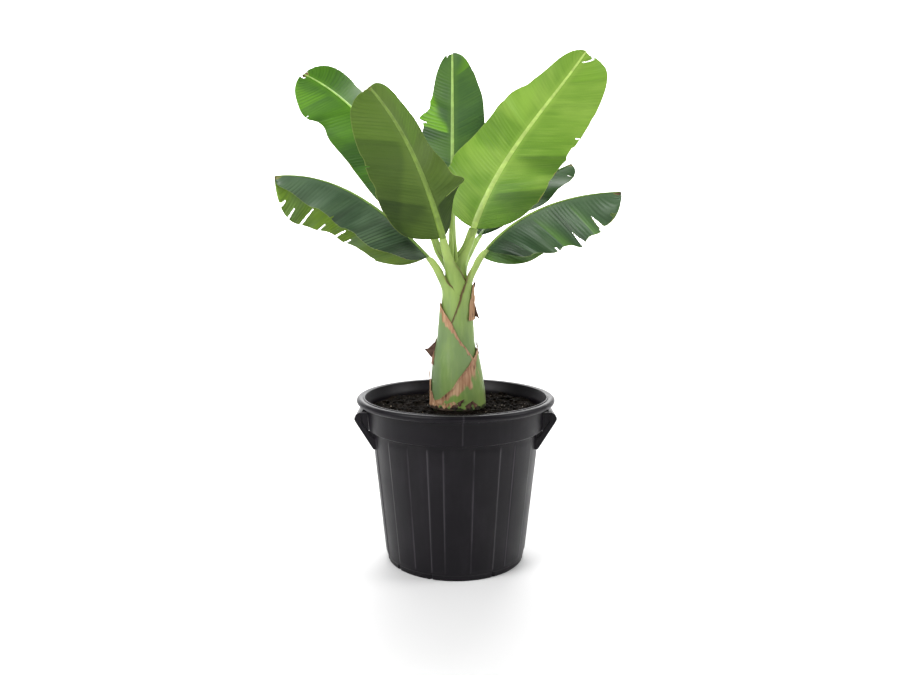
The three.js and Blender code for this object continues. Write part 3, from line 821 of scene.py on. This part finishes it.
# The greens above near the foot and near the tip, below, and where light comes through. Each
# leaf's greens are its own green with the light that falls on it painted in: the darker foot
# greens are painted shade, the lighter tip greens painted light, and the last is painted light
# coming through the blade, on the low leaves a grey-green painted sheen.
GREENS = {
    "front_left": ((0.05, 0.1, 0.02), (0.11, 0.2, 0.035), (0.098, 0.18, 0.018), (0.13, 0.21, 0.035)),
    "high_right": ((0.12, 0.28, 0.01), (0.19, 0.36, 0.035), (0.24, 0.4, 0.07), (0.34, 0.54, 0.08)),
    "top": ((0.022, 0.085, 0.014), (0.055, 0.135, 0.03), (0.1, 0.22, 0.02), (0.1, 0.22, 0.03)),
    "back_left": ((0.03, 0.11, 0.006), (0.055, 0.16, 0.012), (0.08, 0.19, 0.02), (0.1, 0.27, 0.012)),
    "low_left": ((0.012, 0.05, 0.01), (0.05, 0.105, 0.045), (0.17, 0.3, 0.01), (0.1, 0.17, 0.09)),
    "low_right": ((0.016, 0.06, 0.013), (0.055, 0.12, 0.045), (0.12, 0.3, 0.01), (0.1, 0.17, 0.08)),
    "back_right": ((0.04, 0.085, 0.03), (0.055, 0.11, 0.045), (0.08, 0.15, 0.05), (0.08, 0.15, 0.06)),
}
# Waves of the left and the right half: height (mm), turns along the blade and start.
WAVES = {
    "front_left": ((3, 2.5, 0.3), (3, 3.0, 1.0)),
    "high_right": ((5, 2.5, 0.0), (7, 2.2, 0.6)),
    "top": ((3, 2.5, 0.2), (4, 3.0, 0.5)),
    "back_left": ((6, 2.0, 0.4), (3, 2.5, 0.1)),
    "low_left": ((6, 4.0, 0.0), (7, 4.5, 0.4)),
    "low_right": ((7, 3.5, 0.2), (8, 4.0, 0.7)),
    "back_right": ((6, 2.5, 0.6), (5, 2.0, 0.1)),
}
# Creases: side, place, width along the blade and height (mm).
CREASES = {
    "high_right": ((1, 0.34, 0.05, -14), (-1, 0.5, 0.04, -9), (1, 0.2, 0.05, 8)),
    "top": ((-1, 0.62, 0.03, 10),),
    "back_left": ((-1, 0.62, 0.05, 12),),
    "low_left": ((-1, 0.4, 0.04, -8), (-1, 0.6, 0.03, 6)),
    "low_right": ((1, 0.35, 0.04, 8), (-1, 0.55, 0.05, -8)),
}
# Tears: side, place, how near the midrib they reach (0 at it, 1 at the margin) and opening (mm).
TEARS = {
    "front_left": ((-1, 0.182, 0.5, 4), (1, 0.95, 0.8, 2), (1, 0.9, 0.86, 2), (1, 0.42, 0.94, 1.5)),
    "high_right": ((1, 0.93, 0.15, 5), (1, 0.975, 0.5, 3), (1, 0.46, 0.92, 0.8), (-1, 0.96, 0.8, 2)),
    "top": ((-1, 0.94, 0.7, 3), (-1, 0.5, 0.86, 3)),
    "back_left": ((-1, 0.965, 0.2, 6), (1, 0.96, 0.5, 4), (-1, 0.72, 0.93, 2)),
    "low_left": ((1, 0.93, 0.7, 3), (1, 0.86, 0.7, 4), (1, 0.78, 0.72, 3), (1, 0.66, 0.66, 5),
                 (1, 0.5, 0.85, 3), (1, 0.36, 0.82, 3), (1, 0.28, 0.88, 2), (-1, 0.95, 0.6, 3),
                 (-1, 0.5, 0.9, 2)),
    "low_right": ((1, 0.9, 0.72, 5), (1, 0.8, 0.8, 3), (1, 0.7, 0.55, 12), (1, 0.52, 0.7, 8),
                  (1, 0.3, 0.9, 2), (-1, 0.72, 0.5, 8), (-1, 0.5, 0.7, 7), (-1, 0.93, 0.7, 5)),
    "back_right": ((1, 0.8, 0.7, 5), (-1, 0.66, 0.75, 5), (-1, 0.4, 0.9, 3)),
}
# Patches that a bend of the blade turns to the light or from it: side, where they start at the
# midrib, how far along they have spread at the margin, and how bright (above 0) or dark.
PATCHES = {
    "front_left": ((-1, 0.18, -0.5, -1.0), (1, 0.62, -0.7, -0.5), (1, 0.2, -0.3, -0.6),
                   (-1, 0.55, 0.4, 0.25)),
    "high_right": ((1, 0.36, -0.16, -0.6), (-1, 0.44, -0.14, -0.2), (1, 0.16, -0.2, -0.7),
                   (-1, 0.3, -0.14, 0.3), (-1, 0.5, 0.3, 0.3), (1, 0.8, 0.3, 0.3)),
    "top": ((-1, 0.47, 0.2, 1.2), (-1, 0.45, -0.05, -0.6), (1, 0.36, -0.2, -0.5), (1, 0.84, 0.1, 0.5),
            (1, 0.5, -0.1, -0.4)),
    "back_left": ((-1, 0.3, 0.3, -0.45), (-1, 0.62, 0.06, -0.5), (-1, 0.25, -0.3, -0.6),
                  (-1, 0.78, 0.2, 0.45)),
    "low_left": ((-1, 0.14, -0.3, -0.9), (-1, 0.3, 0.06, -0.9), (-1, 0.46, 0.05, -0.7), (-1, 0.5, 0.1, 0.5),
                 (-1, 0.2, 0.09, 0.6), (-1, 0.8, 0.2, 0.3)),
    "low_right": ((1, 0.5, 0.08, -0.8), (1, 0.36, 0.1, 0.4), (1, 0.1, -0.2, -0.7), (1, 0.74, 0.08, -0.5),
                  (1, 0.62, 0.08, 0.4)),
    "back_right": ((1, 0.4, 0.1, -0.5),),
}
# How far down from the tip a blade has dried, its midrib's half width (mm) at both ends and green,
# how much of a sheen it has, how dark the painted shade in its furrows is and how green the painted
# light is that it lets through, which on low_left stays near its grey painted sheen. The last two
# have a usual value, for the blades that aren't named.
DRIED = {"front_left": 0.016, "high_right": 0.006, "top": 0.006, "back_left": 0.012, "low_left": 0.02,
         "low_right": 0.034, "back_right": 0.03}
RIBS = {"front_left": (7.0, 2.0), "high_right": (6.8, 2.1), "top": (5.0, 2.2), "back_left": (5.5, 2.2),
        "low_left": (7.0, 1.6), "low_right": (6.5, 1.6), "back_right": (4.5, 1.8)}
RIB_TONES = {"front_left": (0.2, 0.32, 0.045), "high_right": (0.5, 0.7, 0.16), "top": (0.36, 0.56, 0.14),
             "back_left": (0.34, 0.58, 0.1), "low_left": (0.25, 0.42, 0.08), "low_right": (0.28, 0.44, 0.09),
             "back_right": (0.2, 0.34, 0.08)}
SHEEN = {"front_left": 0.3, "high_right": 0.35, "top": 0.3, "back_left": 0.15, "low_left": 0.5,
         "low_right": 0.5, "back_right": 0.05}
USUAL_FURROW_SHADE, FURROW_SHADES = 0.45, {"low_left": 0.8, "high_right": 0.15}
USUAL_GLOW, GLOWS = 0.65, {"low_left": 0.1}


def outline(t, half):
    """A half's width at t as a share of its widest: rounded at the foot and at the tip, with
    a share more or less round each place of its bulges."""
    foot, tip = half["foot"], half["tip"]
    s = np.linspace(0.01, 0.99, 99)
    most = np.sqrt((1 - (1 - s) ** foot) * (1 - s**tip)).max()
    t = np.clip(t, 0, 1)
    width = np.sqrt(np.clip((1 - (1 - t) ** foot) * (1 - t**tip), 0, 1)) / most
    for place, wide, share in half.get("bulge", ()):
        width = width * (1 + share * np.exp(-(((t - place) / wide) ** 2)))
    return width


def blade_place(leaf, course, t, across, lift):
    """Points of the blade at t along and across (-1 left margin, 1 right margin). A half leaves the
    midrib at its fold and turns through its curl: sideways it runs by the difference of the sines of
    the two angles over the curl, upwards by the difference of the cosines, both times its width; its
    margin leans ahead by a share of the width, and a lobe draws its foot back. lift moves each point
    along the blade's upward side."""
    knots = np.linspace(0, 1, len(course[0]))
    t_in = np.clip(t, 0, 1)
    line, ahead, right, up = (
        np.stack([np.interp(t_in, knots, table[:, k]) for k in range(3)], -1) for table in course
    )
    side = np.where(across < 0, -1.0, 1.0)
    v = np.abs(across)
    halves, lobes = [], []
    for half in (leaf["left"], leaf["right"]):
        width = np.maximum(0.001, half["half"] / 1000 * outline(t, half))
        place, wide, more = half.get("spread", (0, 1, 0))
        fold = bend(half["fold"], t_in) + more * np.exp(-(((t_in - place) / wide) ** 2))
        halves.append((width, np.radians(fold), np.radians(half["curl"]) + 0 * t_in))
        lobes.append(half.get("lobe", 0) / 1000 * np.exp(-t_in / 0.06))
    width, fold, curl = (np.where(across < 0, low, high) for low, high in zip(*halves))
    lean = MARGIN_LEAN * width * v**1.5 - np.where(across < 0, *lobes) * v
    turn = fold - curl * v
    sideways = width * (np.sin(fold) - np.sin(turn)) / curl
    high = width * (np.cos(turn) - np.cos(fold)) / curl
    face = (np.cos(turn)[..., None] * up - (side * np.sin(turn))[..., None] * right)
    points = line + (side * sideways)[..., None] * right + high[..., None] * up
    points += lean[..., None] * ahead + lift[..., None] * face
    return points, face, width


def blade_colour(shades, furrow_shade, glow, seed):
    """The blade's greens, from its foot to its tip and above or below, darker at the foot and lighter
    at the tip as painted shade and painted light, in broad soft patches of painted light and faint
    bands between the side veins, darker with painted shade in its furrows and in patches turned
    from the light, with a thin pale margin, and brown where it dried or tore."""
    foot, tip, lower, lit = shades

    def colour(pen):
        blade = pen.own("blade", out=1)
        across, share = blade.parts(1), blade.parts(2)
        under, dry, margin = pen.own("under"), pen.own("dry"), pen.own("margin")
        bands = pen.noise(blade, 60.0, 4.0, (1, 0.08, 0))
        fine = pen.noise(blade, 330.0, 3.0, (1, 0.05, 0))
        wide = pen.noise(blade, 11.0 + seed * 0.4, 2.0, (1, 0.7, 0))
        # Painted shade near the foot, painted light toward the tip.
        tone = share.step(0.1, 0.75).mix(foot, tip)
        # Below as well: painted shade near the foot, painted light toward the tip.
        pale = share.step(0.15, 0.8).mix([0.7 * c for c in lower], [1.15 * c for c in lower])
        tone = under.step(0.3, 0.7).mix(tone, pale)
        # Broad soft patches of painted light; on the low leaves a painted sheen.
        tone = (wide.step(0.42, 0.68) * 0.6).mix(tone, lit)
        dark = tone.times((0.55, 0.62, 0.5))
        tone = (bands.step(0.42, 0.68) * 0.32).mix(tone, dark)
        tone = (fine.step(0.45, 0.75) * 0.3).mix(tone, lit)
        turned = pen.own("turned")
        tone = (turned * -1.0).step(0.0, 1.0).mix(tone, tone.times((0.36, 0.42, 0.34)))
        through = [(1 - glow) * a + glow * b for a, b in zip(lit, (0.2, 0.5, 0.005))]
        tone = turned.step(0.0, 1.0).mix(tone, through)
        # Painted shade in the furrows between the pleats.
        tone = (pen.own("pleat").step(0.0, -0.7) * furrow_shade).mix(tone, dark)
        near_rib = across.math("ABSOLUTE", across).step(0.016, 0.004)
        tone = (near_rib * 0.35).mix(tone, lit)
        tone = (margin.step(0.02, 0.006) * 0.45).mix(tone, (0.3, 0.38, 0.1))
        rust = pen.noise(blade, 160.0, 5.0, (1, 0.35, 0))
        brown = rust.step(0.35, 0.7).mix((0.07, 0.038, 0.02), (0.25, 0.16, 0.08))
        yellow = (dry + rust * 0.35).step(0.42, 0.62)
        tone = (yellow * 0.65).mix(tone, (0.3, 0.33, 0.06))
        return (dry + rust * 0.3).step(0.66, 0.86).mix(tone, brown)

    return colour


def blade_rough(pen):
    """Satin above, duller below."""
    blade = pen.own("blade", out=1)
    return 0.4 + pen.own("under") * 0.12 + pen.noise(blade, 60.0, 3.0, (1, 0.2, 0)) * 0.16


def blade_height(pen):
    """Fine side veins, over soft ripples."""
    blade = pen.own("blade", out=1)
    return pen.noise(blade, 420.0, 2.0, (1, 0.03, 0)) + pen.noise(blade, 60.0, 3.0, (1, 0.3, 0)) * 1.5


def rib_colour(tone):
    """One yellow-green, a little mottled."""

    def colour(pen):
        mottled = pen.noise(place_of(pen), 60.0, 4.0).step(0.35, 0.7)
        return mottled.mix([0.85 * c for c in tone], [1.15 * c for c in tone])

    return colour


def rib_rough(pen):
    """Satin."""
    return 0.4 + pen.noise(place_of(pen), 80.0) * 0.15


def blade_mesh(name, seed):
    """The blade's two faces as one closed thin skin: a grid along and across, pleated by a sine of
    the distance along the midrib from vein to vein, waved, creased, opened at tears, and walled at
    every edge."""
    leaf, (_, course) = LEAVES[name], leaf_course(LEAVES[name])
    length = leaf["length"] / 1000
    rows, half_count = 320, 22
    t0 = (1 - np.cos(np.linspace(0, np.pi, rows))) / 2 * 0.25 + np.linspace(0, 1, rows) * 0.75
    v = np.linspace(0, 1, half_count + 1) ** 0.9
    across = np.concatenate([-v[:0:-1], v])
    t, c = np.meshgrid(t0, across, indexing="ij")
    v, side = np.abs(c), np.where(c < 0, -1.0, 1.0)
    broad = np.where(c < 0, leaf["left"]["half"], leaf["right"]["half"]) / 1000
    vein = t - VEIN_LEAN * broad / length * v
    lift, dry, slide = np.zeros_like(t), np.zeros_like(t), np.zeros_like(t)
    cut = np.zeros((rows - 1, t.shape[1] - 1), bool)
    for number, (tear_side, place, depth, opening) in enumerate(TEARS.get(name, ())):
        gap = vein - place
        ramp = np.clip((v - depth) / (1 - depth), 0, 1) * (side == tear_side)
        near = np.exp(-np.abs(gap) / TEAR_REACH)
        slide += np.sign(gap) * opening / 1000 / length * 0.5 * ramp**0.8 * near
        lift += np.sign(gap) * TEAR_LIFT * ramp * near * (1 if number % 2 else -1)
        dry = np.maximum(dry, 0.75 * (ramp > 0) * np.exp(-np.abs(gap) * length / TEAR_BROWN))
        above = gap > 0
        crossing = (above[:-1, :-1] != above[1:, :-1]) | (above[:-1, 1:] != above[1:, 1:])
        cut |= crossing & ((ramp[:-1, :-1] > 0) | (ramp[1:, 1:] > 0))
    spot = np.stack([vein * length, c * 0.03, 0 * c + seed], -1)
    amp, turns, at = (np.where(c < 0, left, right) for left, right in zip(*WAVES[name]))
    lift += amp / 1000 * v**1.6 * np.sin(2 * np.pi * (turns * vein + at)) * smooth(0, 0.1, t)
    lift += 0.004 * v * cloud(spot, 0.05, seed)
    for crease_side, place, wide, height in CREASES.get(name, ()):
        near = np.exp(-(np.abs((vein - place) / wide) ** 1.3))
        lift += (side == crease_side) * height / 1000 * v**1.2 * near
    turned = np.zeros_like(t)
    for patch_side, place, spread, strength in PATCHES.get(name, ()):
        low, high = np.minimum(place, place + spread * v), np.maximum(place, place + spread * v)
        crisp, soft = (0.006, 0.07) if spread > 0 else (0.07, 0.006)
        inside = smooth(low - crisp, low + crisp, vein) * smooth(high + soft, high - soft, vein)
        turned += strength * inside * (side == patch_side) * smooth(0, 0.25, v)
    pleat = np.sin(2 * np.pi * vein * length / PLEAT_PITCH + 2.5 * cloud(spot, 0.03, seed + 1))
    strength = smooth(0.03, 0.2, v) * (0.5 + 0.5 * cloud(spot, 0.04, seed + 2))
    lift += (OLD_PLEAT_HEIGHT if name.startswith("low") else PLEAT_HEIGHT) * pleat * strength
    drop = DRIED[name]
    frayed = np.abs(cloud(np.stack([vein * 0.3, side * 0.1, 0 * c], -1), 0.004, seed + 3))
    dry = np.maximum(dry, smooth(1 - 2.2 * drop, 1 - 0.6 * drop, vein + 0.02 * frayed) * (v > 0.04))
    dry = np.maximum(dry, 0.7 * smooth(0.985, 1.0, v) * smooth(0.5, 0.8, cloud(spot, 0.016, seed + 4)))
    narrow = np.ones_like(c)
    narrow -= 0.035 * smooth(0.1, 0.6, cloud(spot, 0.03, seed + 5)) * smooth(0.75, 1, v)
    narrow -= 0.10 * frayed * smooth(1 - 3 * drop, 1, vein) * smooth(0.5, 1, v)
    top_place, face, width = blade_place(leaf, course, t + slide, c * narrow, lift)
    under_place = top_place - face * BLADE_THICK
    columns = t.shape[1]
    below = rows * columns
    quads_top = grid_faces(rows, columns).reshape(rows - 1, columns - 1, 4)[~cut][:, ::-1]
    quads_under = quads_top[:, ::-1] + below
    pairs = np.stack([quads_top, np.roll(quads_top, -1, 1)], -1).reshape(-1, 2)
    code = np.sort(pairs, 1) @ np.array([below, 1])
    _, first_at, counts = np.unique(code, return_index=True, return_counts=True)
    edge = pairs[first_at[counts == 1]]
    walls = np.stack([edge[:, 1], edge[:, 0], edge[:, 0] + below, edge[:, 1] + below], -1)
    points = np.concatenate([top_place.reshape(-1, 3), under_place.reshape(-1, 3)])
    blade = np.stack([vein * length, c * width, t], -1).reshape(-1, 3)
    fields = dict(dry=dry, turned=turned, margin=1 - v, pleat=pleat * strength)
    fields = {key: np.tile(value.ravel(), 2) for key, value in fields.items()}
    fields |= dict(blade=np.tile(blade, (2, 1)), under=np.repeat([0.0, 1.0], below))
    flat = np.stack([0.01 + 0.47 * (c + 1) / 2, 0.01 + 0.98 * t], -1).reshape(-1, 2)
    flat = np.concatenate([flat, flat + [0.5, 0]])
    return points, [quads_top, quads_under, walls], fields, flat, course


for number, name in enumerate(LEAVES):
    points, faces, fields, flat, course = blade_mesh(name, 3 * number + 1)
    furrow_shade, glow = FURROW_SHADES.get(name, USUAL_FURROW_SHADE), GLOWS.get(name, USUAL_GLOW)
    shades = blade_colour(GREENS[name], furrow_shade, glow, number)
    look = finish_of("blade " + name.replace("_", " "), shades, blade_rough, blade_height, 0.0006, 0.35,
                     Specular_IOR_Level=SHEEN[name])
    build("blade_" + name, points, faces, look, ["leaf_" + name], flat, fields)
    line, ahead, right, up = course
    t = np.linspace(0, 1, len(line))
    wide, slim = RIBS[name]
    radius = (wide + (slim - wide) * t**0.7) / 1000 * np.sqrt(smooth(1.02, 0.97, t))
    places = line + up * (0.0009 + 0.0002 * t)[:, None]
    half = np.radians(90 + 0 * t)
    points, faces, _ = crescent(places, -up, right, radius, half, 0.5 * radius, 0 * t, 13, -0.12)
    rib_look = finish_of("midrib " + name.replace("_", " "), rib_colour(RIB_TONES[name]), rib_rough)
    build("midrib_" + name, points, faces, rib_look, ["leaf_" + name])

# The backdrop: a pale floor that sweeps up into a wall far behind, as in a small studio. A soft
# panel lights the plant from the left, a weaker one from the right and one from behind, and two
# more light the wall and the far floor.
FLOOR_FRONT, SWEEP_START, SWEEP_RADIUS, SIDE = -14, 7, 5, 16.0
WALL = SWEEP_START + SWEEP_RADIUS
arc = np.linspace(0.1, np.pi / 2, 16)
run = np.concatenate([np.linspace(FLOOR_FRONT, SWEEP_START, 8), SWEEP_START + SWEEP_RADIUS * np.sin(arc),
                      [WALL, WALL]])
climb = np.concatenate([np.zeros(8), SWEEP_RADIUS - SWEEP_RADIUS * np.cos(arc), [9, 16]])
across = np.array([-SIDE, SIDE])
sweep = np.stack([np.broadcast_to(across, (len(run), 2)), run[:, None] + 0 * across,
                  climb[:, None] + 0 * across], -1)
floor_look = bpy.data.materials.new("pale floor")
floor_look.use_nodes = True
floor_shader = floor_look.node_tree.nodes["Principled BSDF"].inputs
floor_shader["Base Color"].default_value = (0.93, 0.93, 0.93, 1)
floor_shader["Roughness"].default_value = 0.9
floor_shader["Specular IOR Level"].default_value = 0.1
mesh = bpy.data.meshes.new("floor")
mesh.from_pydata(sweep.reshape(-1, 3).tolist(), [], grid_faces(len(run), 2)[:, ::-1].tolist())
mesh.polygons.foreach_set("use_smooth", np.ones(len(mesh.polygons), bool))
mesh.materials.append(floor_look)
floor = bpy.data.objects.new("floor", mesh)
bpy.context.scene.collection.objects.link(floor)


def panel(name, place, aim, size, power):
    """A square soft light of that side and power at a place, facing the aim."""
    lamp = bpy.data.lights.new(name, "AREA")
    lamp.shape, lamp.size, lamp.energy = "SQUARE", size, power
    held = bpy.data.objects.new(name, lamp)
    held.location = place
    way = Vector(aim) - Vector(place)
    held.rotation_euler = way.to_track_quat("-Z", "Y").to_euler()
    bpy.context.scene.collection.objects.link(held)


panel("left light", (-1.9, -1.5, 2.3), (0, 0, 0.6), 1.4, 62)
panel("right light", (2.4, -0.3, 1.9), (0, 0, 0.6), 1.2, 30)
panel("back light", (0.3, 2.4, 2.8), (0, 0, 0.7), 2.2, 42)
panel("wall light", (0, 5.5, 6.0), (0, 12, 3), 5.0, 1100)
panel("far floor light", (0, 5.0, 5.0), (0, 7.5, 0), 5.0, 500)
world = bpy.data.worlds.new("soft room")
bpy.context.scene.world = world
world.use_nodes = True
world.node_tree.nodes["Background"].inputs["Color"].default_value = (1, 1, 1, 1)
world.node_tree.nodes["Background"].inputs["Strength"].default_value = 0.4

# The camera: 1.6 m in front of the stem at the height of the leaves, looking 7 degrees down.
camera = bpy.data.cameras.new("camera")
camera.lens, camera.sensor_width = 32, 36
held = bpy.data.objects.new("camera", camera)
held.location = (-0.011, -1.6, 0.652)
held.rotation_euler = (np.radians(90 - 7.08), 0, 0)
bpy.context.scene.collection.objects.link(held)
bpy.context.scene.camera = held
bpy.context.scene.view_settings.view_transform = "Standard"
